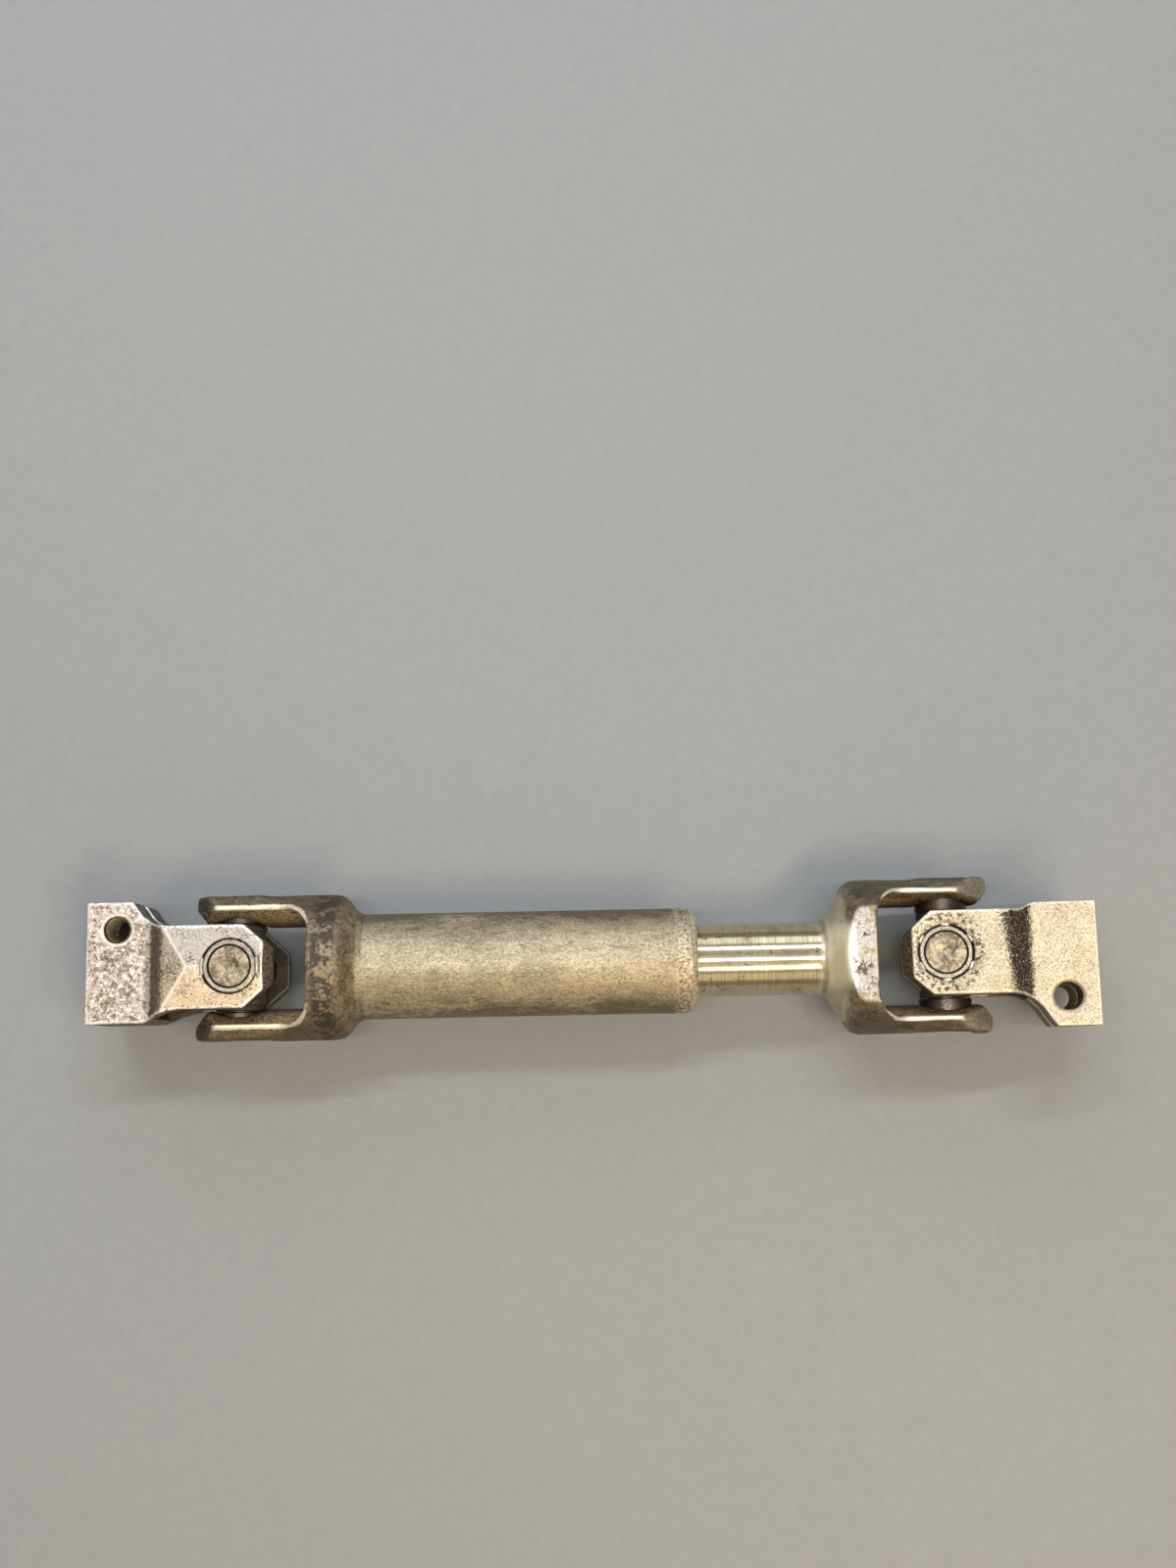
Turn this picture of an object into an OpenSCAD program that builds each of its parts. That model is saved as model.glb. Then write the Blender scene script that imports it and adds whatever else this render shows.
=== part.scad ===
// Universal joint shaft: two splined clamp yokes, two crosses with needle bearings,
// an outer tube yoke and a splined inner shaft yoke that slides in it.
// Millimetres. The shaft lies along X, the pins of the tube and shaft yokes along Y,
// the pins of the clamp yokes along Z. The origin is midway between the two crosses.

/* [Overall] */
// Distance between the centres of the two crosses
cross_distance = 215; // [212:1:218]
// Angle by which the right clamp yoke stands raised about the shaft yoke pins, degrees
right_raise = 9; // [0:0.5:12]

/* [Cross and bearings] */
// Outer diameter of a bearing cup
cup_diameter = 16; // [15.8:0.05:16]
// Distance from the cross centre to the outer face of a cup
cup_reach = 19.2; // [19.1:0.1:19.4]
// Distance from the cross centre to the open end of a cup
cup_open = 13.2; // [13.2:0.1:13.4]
// Diameter of the cross trunnions
trunnion_diameter = 10; // [9.9:0.05:10]
// Diameter of a needle roller
needle_diameter = 2; // [1.9:0.05:2]
// Number of needle rollers in a cup
needle_count = 18; // [12:1:18]
// Radius of the cross hub ball
hub_radius = 9.4; // [9:0.1:9.8]

/* [Outer tube] */
// Outside diameter of the tube
tube_diameter = 32; // [31:0.5:34]
// Distance from the left cross centre to the mouth of the tube
tube_mouth = 139; // [136:1:142]
// Radius of the collar of the tube yoke
tube_collar_radius = 22.2; // [22:0.1:22.6]
// Length of the internal spline
tube_spline_length = 62; // [50:1:64]

/* [Inner shaft] */
// Diameter of the plain part of the inner shaft
shaft_diameter = 22.2; // [21.8:0.1:22.2]
// Radius of the collar of the shaft yoke
shaft_collar_radius = 23.6; // [23.4:0.1:24]
// Half height of the flats milled on the shaft yoke collar
shaft_flat_height = 18.9; // [18.4:0.1:19.4]
// Number of teeth on the sliding spline
spline_teeth = 24; // [18:1:24]

/* [Clamp yokes] */
// Width of a clamp yoke ear
ear_width = 25; // [24:0.5:25]
// Height of the outer ear faces above the axis
ear_height = 20; // [19.9:0.1:20.4]
// Distance from the cross centre to the tip of a clamp yoke ear
ear_tip = 12.4; // [12:0.1:12.6]
// Height of the clamp faces above the axis
jaw_height = 14.5; // [14:0.1:15]
// Distance from the cross centre to the end of the left clamp
left_clamp_end = 43.7; // [43:0.1:45]
// Distance from the cross centre to the end of the right clamp
right_clamp_end = 44.4; // [43:0.1:45]
// Radius of the splined clamp bore at the tips of the teeth
clamp_bore_radius = 8.5; // [8.3:0.1:8.6]
// Number of serrations in a clamp bore
serration_count = 36; // [30:1:36]
// Width of the slit that lets a clamp close
slit_width = 2.8; // [2:0.1:3.2]
// Radius of the tapped bolt hole
tapped_radius = 3.45; // [3.3:0.05:3.5]
// Radius of the plain bolt hole
plain_radius = 4.05; // [4:0.05:4.2]

/* [Hidden] */
$fn = 96;
half_distance = cross_distance / 2;
cup_radius = cup_diameter / 2;
trunnion_radius = trunnion_diameter / 2;
needle_radius = needle_diameter / 2;
needle_pitch = trunnion_radius + needle_radius + 0.03;
cup_inner = needle_pitch + needle_radius + 0.03;
cup_floor = cup_reach - 1.3;
pad_thickness = 0.9;
trunnion_end = cup_floor - pad_thickness - 0.3;
seal_start = 11;
seal_end = cup_open - 0.4;
tube_radius = tube_diameter / 2;
shaft_radius = shaft_diameter / 2;
ear_half_height = 12.3;
fork_radius = 27.9;

// ---------- places ----------

module at_left() {
    translate([-half_distance, 0, 0]) children();
}

module at_left_clamp() {
    at_left() rotate([0, 0, 180]) children();
}

module at_right() {
    translate([half_distance, 0, 0]) rotate([0, 0, 180]) children();
}

module at_right_clamp() {
    translate([half_distance, 0, 0]) rotate([0, -right_raise, 0]) children();
}

// Lays something built along +Z along Y, towards +Y or -Y.
module along_y(side) {
    rotate([-90 * side, 0, 0]) children();
}

// Turns something built along +Z to point along +Z or -Z.
module along_z(side) {
    rotate([side > 0 ? 0 : 180, 0, 0]) children();
}

// Lays something built along +Z along +X.
module along_x() {
    rotate([0, 90, 0]) children();
}

// Stands a profile drawn in X and Z up and thickens it along Y.
module from_side(width) {
    rotate([90, 0, 0]) linear_extrude(height = width, center = true) children();
}

// ---------- cross and bearings ----------

module cup() {
    rotate_extrude()
        polygon([
            [0, cup_floor], [cup_inner, cup_floor], [cup_inner, cup_open], [cup_radius - 0.3, cup_open],
            [cup_radius, cup_open + 0.3], [cup_radius, cup_reach - 0.5], [cup_radius - 0.15, cup_reach - 0.15],
            [cup_radius - 0.5, cup_reach], [6.6, cup_reach], [6.4, cup_reach - 0.5], [6.1, cup_reach - 0.5],
            [5.9, cup_reach - 0.2], [3, cup_reach - 0.2], [2.5, cup_reach - 0.32], [1.5, cup_reach - 0.6], [0, cup_reach - 0.68]
        ]);
}

module needle_ring() {
    for (i = [0 : needle_count - 1])
        rotate([0, 0, i * 360 / needle_count])
            translate([needle_pitch, 0, cup_open + 0.4])
                cylinder(r = needle_radius, h = cup_floor - pad_thickness - cup_open - 0.6, $fn = 24);
}

module pad() {
    translate([0, 0, cup_floor - pad_thickness]) cylinder(r = cup_inner - 0.4, h = pad_thickness);
}

module seal() {
    rotate_extrude()
        polygon([
            [trunnion_radius, seal_start], [7.4, seal_start], [7.6, seal_start + 0.3], [7.6, seal_end - 0.3],
            [7.3, seal_end], [trunnion_radius, seal_end]
        ]);
}

module trunnion() {
    cylinder(r = 7.2, h = seal_start);
    cylinder(r = trunnion_radius, h = trunnion_end - 0.6);
    translate([0, 0, trunnion_end - 0.6]) cylinder(r1 = trunnion_radius, r2 = trunnion_radius - 0.6, h = 0.6);
}

module cross_body() {
    sphere(r = hub_radius);
    for (side = [-1, 1]) {
        along_y(side) trunnion();
        along_z(side) trunnion();
    }
}

module cross_seals() {
    for (side = [-1, 1]) {
        along_y(side) seal();
        along_z(side) seal();
    }
}

// ---------- tube and shaft yokes, cross at the origin, shaft towards +X ----------

// The space between the ears: a round-cornered slot whose sides bulge inwards.
module ear_slot(edge_y, face_y, wall_x, corner) {
    bulge = edge_y - face_y;
    bulge_radius = (pow(ear_half_height, 2) + pow(bulge, 2)) / (2 * bulge);
    difference() {
        linear_extrude(height = 60, center = true) {
            translate([-30, -edge_y]) square([30 + wall_x - corner, 2 * edge_y]);
            translate([-30, corner - edge_y]) square([30 + wall_x, 2 * (edge_y - corner)]);
            for (side = [-1, 1])
                translate([wall_x - corner, side * (edge_y - corner)]) circle(r = corner);
        }
        for (side = [-1, 1])
            translate([-40, side * (face_y + bulge_radius), 0]) along_x() cylinder(r = bulge_radius, h = 80, $fn = 180);
    }
}

// Side view of what is kept: two ears with cut corners that run out into the collar.
module ear_outline(tip_x, tip_height, corner_x) {
    polygon([
        [-tip_x, -tip_height], [-corner_x, -ear_half_height], [14, -ear_half_height], [16.5, -ear_half_height - 0.9],
        [19, -ear_half_height - 4], [20, -30], [150, -30], [150, 30], [20, 30], [19, ear_half_height + 4],
        [16.5, ear_half_height + 0.9], [14, ear_half_height], [-corner_x, ear_half_height], [-tip_x, tip_height]
    ]);
}

// Squared outer sides of the ears, which run into the round collar.
module ear_sides(face_y, edge_y, collar_y) {
    intersection() {
        linear_extrude(height = 60, center = true)
            polygon([[-14, -face_y], [8, -face_y], [25, -collar_y], [25, collar_y], [8, face_y], [-14, face_y]]);
        translate([-20, 0, 0])
            rotate([90, 0, 90])
                linear_extrude(height = 60)
                    polygon([
                        [-edge_y, -ear_half_height], [edge_y, -ear_half_height], [face_y, -8.8], [face_y, 8.8],
                        [edge_y, ear_half_height], [-edge_y, ear_half_height], [-face_y, 8.8], [-face_y, -8.8]
                    ]);
    }
}

// Slanting cut on the inner side of both ear tips.
module ear_tip_cuts(tip_x, tip_y, back_x, back_y) {
    for (side = [-1, 1])
        scale([1, side, 1])
            linear_extrude(height = 60, center = true)
                polygon([[-tip_x - 5, tip_y + 5], [-tip_x, tip_y], [-back_x, back_y], [-back_x, back_y - 6], [-tip_x - 5, back_y - 6]]);
}

module ear_bores() {
    rotate([90, 0, 0]) cylinder(r = cup_radius, h = 80, center = true);
}

// ---------- sliding spline ----------

// Straight-sided teeth: half angles in degrees at the tip and at the foot of a tooth.
module spline_outline(tip_r, root_r, tip_angle, foot_angle) {
    polygon([
        for (i = [0 : spline_teeth - 1], corner = [[root_r, -foot_angle], [tip_r, -tip_angle], [tip_r, tip_angle], [root_r, foot_angle]])
            corner[0] * [cos(i * 360 / spline_teeth + corner[1]), sin(i * 360 / spline_teeth + corner[1])]
    ]);
}

module shaft_spline(length) {
    along_x() linear_extrude(height = length) spline_outline(9.9, 8.8, 1.8, 3.4);
}

module sleeve_spline(length) {
    along_x() linear_extrude(height = length) spline_outline(10.6, 9.5, 3.4, 5);
}

module tube_spline(length) {
    along_x() linear_extrude(height = length) spline_outline(10.72, 9.62, 4, 5.6);
}

// ---------- clamp yokes, cross at the origin, clamp towards +X, bolt side towards -Y ----------

module clamp_bore(end_x) {
    translate([20, 0, 0]) along_x() cylinder(r = clamp_bore_radius, h = 30);
    translate([end_x - 0.8, 0, 0]) along_x() cylinder(r1 = clamp_bore_radius, r2 = clamp_bore_radius + 1.6, h = 1.6);
    for (i = [0 : serration_count - 1])
        rotate([(i + 0.5) * 360 / serration_count, 0, 0])
            translate([20, 0, 0])
                rotate([90, 0, 90])
                    linear_extrude(height = 30)
                        polygon([
                            [-0.36, clamp_bore_radius - 0.3], [0.36, clamp_bore_radius - 0.3], [0.36, clamp_bore_radius],
                            [0.12, clamp_bore_radius + 0.6], [-0.12, clamp_bore_radius + 0.6], [-0.36, clamp_bore_radius]
                        ]);
}

module bolt_hole(hole_x, hole_y, top_radius, bottom_radius, ring) {
    translate([hole_x, hole_y, 0]) {
        cylinder(r = top_radius, h = 30);
        translate([0, 0, -30]) cylinder(r = bottom_radius, h = 30);
        translate([0, 0, jaw_height - 0.55]) cylinder(r1 = top_radius, r2 = top_radius + 2 * ring, h = 1.1);
        translate([0, 0, -jaw_height - 0.55]) cylinder(r1 = bottom_radius + 2 * ring, r2 = bottom_radius, h = 1.1);
    }
}

// Fork gap between the ears, narrowing towards the clamp, its end rounded about the pin axis.
module fork_gap() {
    intersection() {
        from_side(60)
            polygon([
                [-30, -13], [14, -13], [18, -12.2], [21, -10.6], [23.5, -8.4], [25, -7], [32, -7], [32, 7], [25, 7],
                [23.5, 8.4], [21, 10.6], [18, 12.2], [14, 13], [-30, 13]
            ]);
        cylinder(r = fork_radius, h = 60, center = true, $fn = 144);
    }
}

// Punch marks that lock the cups in both ears.
module stake_marks(angles, width) {
    for (angle = angles, side = [-1, 1])
        rotate([0, 0, angle])
            translate([cup_radius - 0.4, -width / 2, side * ear_height - 0.6])
                cube([1.6, width, 1.2]);
}

module clamp_cuts(end_x, hole_x, hole_y, top_radius, bottom_radius, ring) {
    fork_gap();
    clamp_bore(end_x);
    translate([18, -40, -slit_width / 2]) cube([40, 40, slit_width]);
    bolt_hole(hole_x, hole_y, top_radius, bottom_radius, ring);
    cylinder(r = cup_radius, h = 60, center = true);
}

// Half side view of a clamp yoke from the cut ear tip to the clamp end; ramp holds the points of the bend.
function side_half(ramp, end_x) = concat([[-ear_tip, ear_height - 4.7], [-ear_tip + 2.6, ear_height]], ramp, [[end_x, jaw_height]]);
function mirrored(points) = [for (i = [len(points) - 1 : -1 : 0]) [points[i][0], -points[i][1]]];

// ---------- sub-parts ----------

module outer_tube_yoke() {
    color([0.72, 0.70, 0.65])
        at_left()
            difference() {
                intersection() {
                    union() {
                        along_x()
                            rotate_extrude($fn = 180)
                                polygon([
                                    [0, -13], [21.7, -13], [21.9, -11.4], [20.8, -6], [20.8, -2], [21.6, 4], [tube_collar_radius, 10],
                                    [tube_collar_radius, 29.4], [21.9, 31], [21.2, 32.3], [20, 33.5], [18.2, 34.7],
                                    [tube_radius + 1, 35.8], [tube_radius + 0.3, 37], [tube_radius, 38.4],
                                    [tube_radius, tube_mouth - 3], [tube_radius - 0.3, tube_mouth - 1.5],
                                    [tube_radius - 1.1, tube_mouth - 0.5], [tube_radius - 2.2, tube_mouth], [0, tube_mouth]
                                ]);
                        ear_sides(21.9, 17.9, 19.2);
                    }
                    from_side(60) ear_outline(12.8, 5.6, 5.8);
                }
                ear_slot(17.3, 12.4, 22.7, 8);
                ear_tip_cuts(12.8, 17.6, 9.6, 14.2);
                ear_bores();
                translate([20, 0, 0]) along_x() cylinder(r = 10.2, h = 15);
                translate([33, 0, 0]) along_x() cylinder(r = 11.2, h = 12.5);
                translate([45.4, 0, 0]) tube_spline(tube_spline_length + 0.2);
                translate([45.5 + tube_spline_length, 0, 0]) along_x() cylinder(r = 11.6, h = 60);
                translate([tube_mouth - 2.4, 0, 0]) along_x() cylinder(r = 12.4, h = 10);
            }
}

module tube_end_plug() {
    color([0.75, 0.73, 0.62])
        at_left()
            translate([26.5, 0, 0])
                along_x()
                    rotate_extrude()
                        polygon([
                            [0, 2.2], [4, 2], [7.6, 1.4], [9.2, 0.8], [9.2, 3.4], [10.2, 3.4], [10.2, 0], [9.4, -0.2], [7.4, 0.3],
                            [4, 0.9], [0, 1.1]
                        ]);
}

module dust_seal() {
    color([0.08, 0.08, 0.08])
        at_left()
            translate([tube_mouth - 2.4, 0, 0])
                along_x()
                    rotate_extrude()
                        polygon([[shaft_radius + 0.05, 0], [12.4, 0], [12.4, 1.9], [12, 1.9], [shaft_radius + 0.05, 1.5]]);
}

module left_tube_cup_far() {
    color([0.66, 0.66, 0.68]) at_left() along_y(1) cup();
}

module left_tube_cup_near() {
    color([0.66, 0.66, 0.68]) at_left() along_y(-1) cup();
}

module left_tube_needles() {
    color([0.85, 0.85, 0.87])
        at_left()
            for (side = [-1, 1])
                along_y(side) needle_ring();
}

module left_tube_pads() {
    color([0.9, 0.88, 0.8])
        at_left()
            for (side = [-1, 1])
                along_y(side) pad();
}

module left_cross() {
    color([0.55, 0.55, 0.57]) at_left() cross_body();
}

module left_cross_seals() {
    color([0.1, 0.1, 0.1]) at_left() cross_seals();
}

module left_clamp_yoke() {
    side = side_half([
        [12.5, ear_height], [20, ear_height - 0.9], [21.5, ear_height - 1.8], [22.8, jaw_height + 2.1], [24, jaw_height + 0.8],
        [25.5, jaw_height + 0.15], [27, jaw_height]
    ], left_clamp_end);
    color([0.78, 0.76, 0.74])
        at_left_clamp()
            difference() {
                intersection() {
                    linear_extrude(height = 60, center = true)
                        polygon([
                            [-ear_tip, 5.2], [-4.1, ear_width / 2], [15, ear_width / 2], [18.4, ear_width / 2 + 0.4],
                            [21.1, 13.8], [26, 16.3], [left_clamp_end, 16.4], [left_clamp_end, -20.1], [29.9, -20.1],
                            [28.65, -18.4], [26.7, -15.7], [24, -13.6], [21.5, -12.9], [18.9, -ear_width / 2],
                            [-4.1, -ear_width / 2], [-ear_tip, -5.2]
                        ]);
                    from_side(60) polygon(concat(side, mirrored(side)));
                    translate([-20, 0, 0])
                        rotate([90, 0, 90])
                            linear_extrude(height = 80)
                                polygon([
                                    [0, ear_height], [-30, ear_height - 2.16], [-30, 2.16 - ear_height], [0, -ear_height],
                                    [30, 2.16 - ear_height], [30, ear_height - 2.16]
                                ]);
                }
                clamp_cuts(left_clamp_end, 34.4, -11.6, tapped_radius, plain_radius, 1);
                stake_marks([0, 180], 6.2);
            }
}

module left_clamp_cup_top() {
    color([0.66, 0.66, 0.68]) at_left() along_z(1) cup();
}

module left_clamp_cup_bottom() {
    color([0.66, 0.66, 0.68]) at_left() along_z(-1) cup();
}

module left_clamp_needles() {
    color([0.85, 0.85, 0.87])
        at_left()
            for (side = [-1, 1])
                along_z(side) needle_ring();
}

module left_clamp_pads() {
    color([0.9, 0.88, 0.8])
        at_left()
            for (side = [-1, 1])
                along_z(side) pad();
}

module inner_shaft_yoke() {
    color([0.74, 0.73, 0.70])
        at_right() {
            difference() {
                intersection() {
                    union() {
                        along_x()
                            rotate_extrude($fn = 180)
                                polygon([
                                    [0, -13.4], [23.6, -13.4], [24, -12], [23.8, -8], [22.9, -2], [22.9, 3], [shaft_collar_radius - 0.2, 10],
                                    [shaft_collar_radius, 20], [shaft_collar_radius, 27.4], [shaft_collar_radius - 0.3, 28.6],
                                    [22, 30.2], [12.4, 36.1], [shaft_radius + 0.3, 37.2], [shaft_radius, 38.4],
                                    [shaft_radius, half_distance - 28.6], [shaft_radius - 0.6, half_distance - 28], [0, half_distance - 28]
                                ]);
                        ear_sides(23.3, 19.2, 20.6);
                    }
                    from_side(60) ear_outline(13.4, 4.6, 2.5);
                    translate([-20, -40, -shaft_flat_height]) cube([120, 80, 2 * shaft_flat_height]);
                }
                ear_slot(18.6, 15, 23, 8);
                ear_tip_cuts(13.4, 19.2, 10.5, 15.8);
                ear_bores();
            }
            translate([half_distance - 28.1, 0, 0]) shaft_spline(66.1);
        }
}

module spline_sleeve() {
    color([0.85, 0.84, 0.78])
        at_right()
            translate([half_distance - 28, 0, 0])
                difference() {
                    sleeve_spline(65);
                    translate([-1, 0, 0]) shaft_spline(67);
                }
}

module right_shaft_cup_far() {
    color([0.66, 0.66, 0.68]) at_right_clamp() along_y(1) cup();
}

module right_shaft_cup_near() {
    color([0.66, 0.66, 0.68]) at_right_clamp() along_y(-1) cup();
}

module right_shaft_needles() {
    color([0.85, 0.85, 0.87])
        at_right_clamp()
            for (side = [-1, 1])
                along_y(side) needle_ring();
}

module right_shaft_pads() {
    color([0.9, 0.88, 0.8])
        at_right_clamp()
            for (side = [-1, 1])
                along_y(side) pad();
}

module right_cross() {
    color([0.55, 0.55, 0.57]) at_right_clamp() cross_body();
}

module right_cross_seals() {
    color([0.1, 0.1, 0.1]) at_right_clamp() cross_seals();
}

module right_clamp_yoke() {
    ramp = [for (t = [0 : 0.1 : 1]) [17.4 + 8.6 * t, jaw_height + (ear_height - jaw_height) * (1 + cos(180 * t)) / 2]];
    side = side_half(ramp, right_clamp_end);
    color([0.80, 0.77, 0.71])
        at_right_clamp()
            difference() {
                intersection() {
                    linear_extrude(height = 60, center = true)
                        polygon([
                            [-ear_tip, 5.2], [-4.1, ear_width / 2], [20.5, ear_width / 2], [23, 13], [25, 14.1], [26.6, 14.5],
                            [right_clamp_end, 14.5], [right_clamp_end, -22.3], [31.4, -22.3], [29.8, -20.2], [27.7, -17],
                            [26.1, -15.15], [24.3, -13.8], [21.8, -12.8], [19.5, -ear_width / 2], [-4.1, -ear_width / 2],
                            [-ear_tip, -5.2]
                        ]);
                    from_side(60) polygon(concat(side, mirrored(side)));
                }
                clamp_cuts(right_clamp_end, 35, -13.55, plain_radius, tapped_radius, 1);
                stake_marks([for (i = [0 : 5]) 30 + 60 * i], 3.6);
            }
}

module right_clamp_cup_top() {
    color([0.66, 0.66, 0.68]) at_right_clamp() along_z(1) cup();
}

module right_clamp_cup_bottom() {
    color([0.66, 0.66, 0.68]) at_right_clamp() along_z(-1) cup();
}

module right_clamp_needles() {
    color([0.85, 0.85, 0.87])
        at_right_clamp()
            for (side = [-1, 1])
                along_z(side) needle_ring();
}

module right_clamp_pads() {
    color([0.9, 0.88, 0.8])
        at_right_clamp()
            for (side = [-1, 1])
                along_z(side) pad();
}

outer_tube_yoke();
tube_end_plug();
dust_seal();
left_tube_cup_far();
left_tube_cup_near();
left_tube_needles();
left_tube_pads();
left_cross();
left_cross_seals();
left_clamp_yoke();
left_clamp_cup_top();
left_clamp_cup_bottom();
left_clamp_needles();
left_clamp_pads();
inner_shaft_yoke();
spline_sleeve();
right_shaft_cup_far();
right_shaft_cup_near();
right_shaft_needles();
right_shaft_pads();
right_cross();
right_cross_seals();
right_clamp_yoke();
right_clamp_cup_top();
right_clamp_cup_bottom();
right_clamp_needles();
right_clamp_pads();
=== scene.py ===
import bpy, bmesh, math
import numpy as np
from mathutils import Vector, Matrix, Euler


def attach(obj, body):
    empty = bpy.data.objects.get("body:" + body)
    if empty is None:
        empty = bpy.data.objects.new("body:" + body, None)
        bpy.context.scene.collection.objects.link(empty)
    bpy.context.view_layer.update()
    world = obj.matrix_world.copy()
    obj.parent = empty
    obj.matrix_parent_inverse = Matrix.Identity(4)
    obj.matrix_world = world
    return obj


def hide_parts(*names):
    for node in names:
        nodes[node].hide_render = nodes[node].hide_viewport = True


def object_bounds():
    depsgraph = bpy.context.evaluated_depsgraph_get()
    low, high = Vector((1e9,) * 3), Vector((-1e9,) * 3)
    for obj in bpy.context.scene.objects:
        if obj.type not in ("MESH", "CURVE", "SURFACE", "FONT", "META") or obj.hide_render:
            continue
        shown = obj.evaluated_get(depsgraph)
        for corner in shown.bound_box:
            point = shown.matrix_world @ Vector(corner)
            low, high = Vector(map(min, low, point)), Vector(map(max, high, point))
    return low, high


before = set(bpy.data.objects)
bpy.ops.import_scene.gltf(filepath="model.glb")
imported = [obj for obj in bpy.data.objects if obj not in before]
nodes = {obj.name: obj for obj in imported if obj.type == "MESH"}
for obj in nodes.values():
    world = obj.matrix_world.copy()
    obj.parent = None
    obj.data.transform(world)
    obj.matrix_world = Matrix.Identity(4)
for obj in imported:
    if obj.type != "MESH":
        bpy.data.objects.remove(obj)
cad_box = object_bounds()
scene = bpy.context.scene

# ---------------------------------------------------------------- sizes in mm, as in the CAD
HALF = 107.5                # from the middle of the shaft to each cross
RAISE = math.radians(9)     # how far the right joint stands off straight at rest
TUBE_RADIUS = 16
SHAFT_RADIUS = 11.1
BORE_CLEAR = 10.9           # plain bore of the tube, clear of the sliding sleeve
RELIEF = 11.6               # wider bore nearer the tube's mouth
RELIEF_CLEAR = 11.68        # the same, clear of the shaft
CUP_RADIUS = 8.0            # bearing cups in the ears
CLAMP_BORE = 8.5            # clamp bore at the tips of the serrations
SERRATION_SEAT = 9.6        # back of the serrated ring
HOLE = {"left": (34.4, -11.6), "right": (35.0, -13.55)}     # bolt holes, x and y in the clamp's own frame
HOLE_RADIUS = 4.05
# remesh sizes; curvature grows with them, so worn() takes a smaller gain where the mesh is coarser
TUBE_VOXEL, SHAFT_VOXEL, CLAMP_VOXEL = 0.62, 0.55, 0.42

# ---------------------------------------------------------------- local frames, in mm
def frame_of(kind):
    """4x4 matrix from a yoke's own frame (cross at the origin, mm) to the row frame in mm."""
    if kind == "tube":
        return Matrix.Translation((-HALF, 0, 0))
    if kind == "shaft":
        return Matrix.Translation((HALF, 0, 0)) @ Matrix.Rotation(math.pi, 4, "Z")
    if kind == "left_clamp":
        return Matrix.Translation((-HALF, 0, 0)) @ Matrix.Rotation(math.pi, 4, "Z")
    return Matrix.Translation((HALF, 0, 0)) @ Matrix.Rotation(-RAISE, 4, "Y")

# ---------------------------------------------------------------- value noise in numpy
def lattice(i, j, k, seed):
    h = (i * 374761393 + j * 668265263 + k * 2147483647 + seed * 1274126177) & 0xFFFFFFFF
    h = ((h ^ (h >> 13)) * 1103515245) & 0xFFFFFFFF
    h = ((h ^ (h >> 16)) * 2246822519) & 0xFFFFFFFF
    return ((h ^ (h >> 15)) & 0xFFFFFF).astype(float) / 0xFFFFFF * 2 - 1

def noise(p, size, seed=0, octaves=1):
    """Smooth noise from -1 to 1 at points p, with features of about size (one number or one per axis)."""
    total, norm, amp = np.zeros(len(p)), 0.0, 1.0
    for o in range(octaves):
        q = p / (np.asarray(size, float) / 2 ** o) + 17.3 * (o + 1)
        base = np.floor(q).astype(np.int64)
        f = q - base
        f = f * f * (3 - 2 * f)
        value = np.zeros(len(p))
        for c in range(8):
            d = np.array([c & 1, (c >> 1) & 1, c >> 2])
            w = np.prod(np.where(d, f, 1 - f), axis=1)
            b = base + d
            value += w * lattice(b[:, 0], b[:, 1], b[:, 2], seed + 31 * o)
        total += amp * value
        norm += amp
        amp *= 0.5
    return total / norm

def smoothstep(a, b, x):
    t = np.clip((x - a) / (b - a), 0, 1)
    return t * t * (3 - 2 * t)

# ---------------------------------------------------------------- meshes
def coords(me):
    """The vertices' places, one row each."""
    co = np.zeros(len(me.vertices) * 3)
    me.vertices.foreach_get("co", co)
    return co.reshape(-1, 3)

def set_coords(me, co):
    me.vertices.foreach_set("co", co.ravel())
    me.update()

def normals(me):
    n = np.zeros(len(me.vertices) * 3, np.float32)
    me.vertex_normals.foreach_get("vector", n)
    return n.reshape(-1, 3).astype(float)

def edges_of(me):
    """The two vertex numbers of each edge, one row each."""
    e = np.zeros(len(me.edges) * 2, np.int32)
    me.edges.foreach_get("vertices", e)
    return e.reshape(-1, 2)

def neighbours(e, values, count):
    """Mean of values over each vertex's neighbours."""
    total = np.zeros((count,) + values.shape[1:])
    np.add.at(total, e[:, 0], values[e[:, 1]])
    np.add.at(total, e[:, 1], values[e[:, 0]])
    many = np.bincount(e.ravel(), minlength=count).astype(float)
    return total / (many if values.ndim == 1 else many[:, None])

def attribute(me, name, values):
    a = me.attributes.get(name) or me.attributes.new(name, "FLOAT", "POINT")
    a.data.foreach_set("value", np.asarray(values, np.float32))

def remeshed(node, kind, voxel):
    """A closed, evenly meshed copy of a CAD node, in its yoke's own frame, in mm."""
    me = nodes[node].data.copy()
    me.transform(frame_of(kind).inverted() @ Matrix.Scale(1000, 4))
    ob = bpy.data.objects.new(node + "_work", me)
    scene.collection.objects.link(ob)
    weld = ob.modifiers.new("weld", "WELD")
    weld.merge_threshold = 0.0005
    mod = ob.modifiers.new("remesh", "REMESH")
    mod.mode = "VOXEL"
    mod.voxel_size = voxel
    mod.adaptivity = 0.0
    dg = bpy.context.evaluated_depsgraph_get()
    out = bpy.data.meshes.new_from_object(ob.evaluated_get(dg))
    bpy.data.objects.remove(ob)
    return out

def soften(me, steps, keep=None, factor=0.5):
    """Laplacian smoothing, which rounds edges; keep holds vertices still where it is 1."""
    e, co = edges_of(me), coords(me)
    for _ in range(steps):
        target = neighbours(e, co, len(co))
        w = factor if keep is None else (factor * (1 - keep))[:, None]
        co = co + (target - co) * w
    set_coords(me, co)

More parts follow.
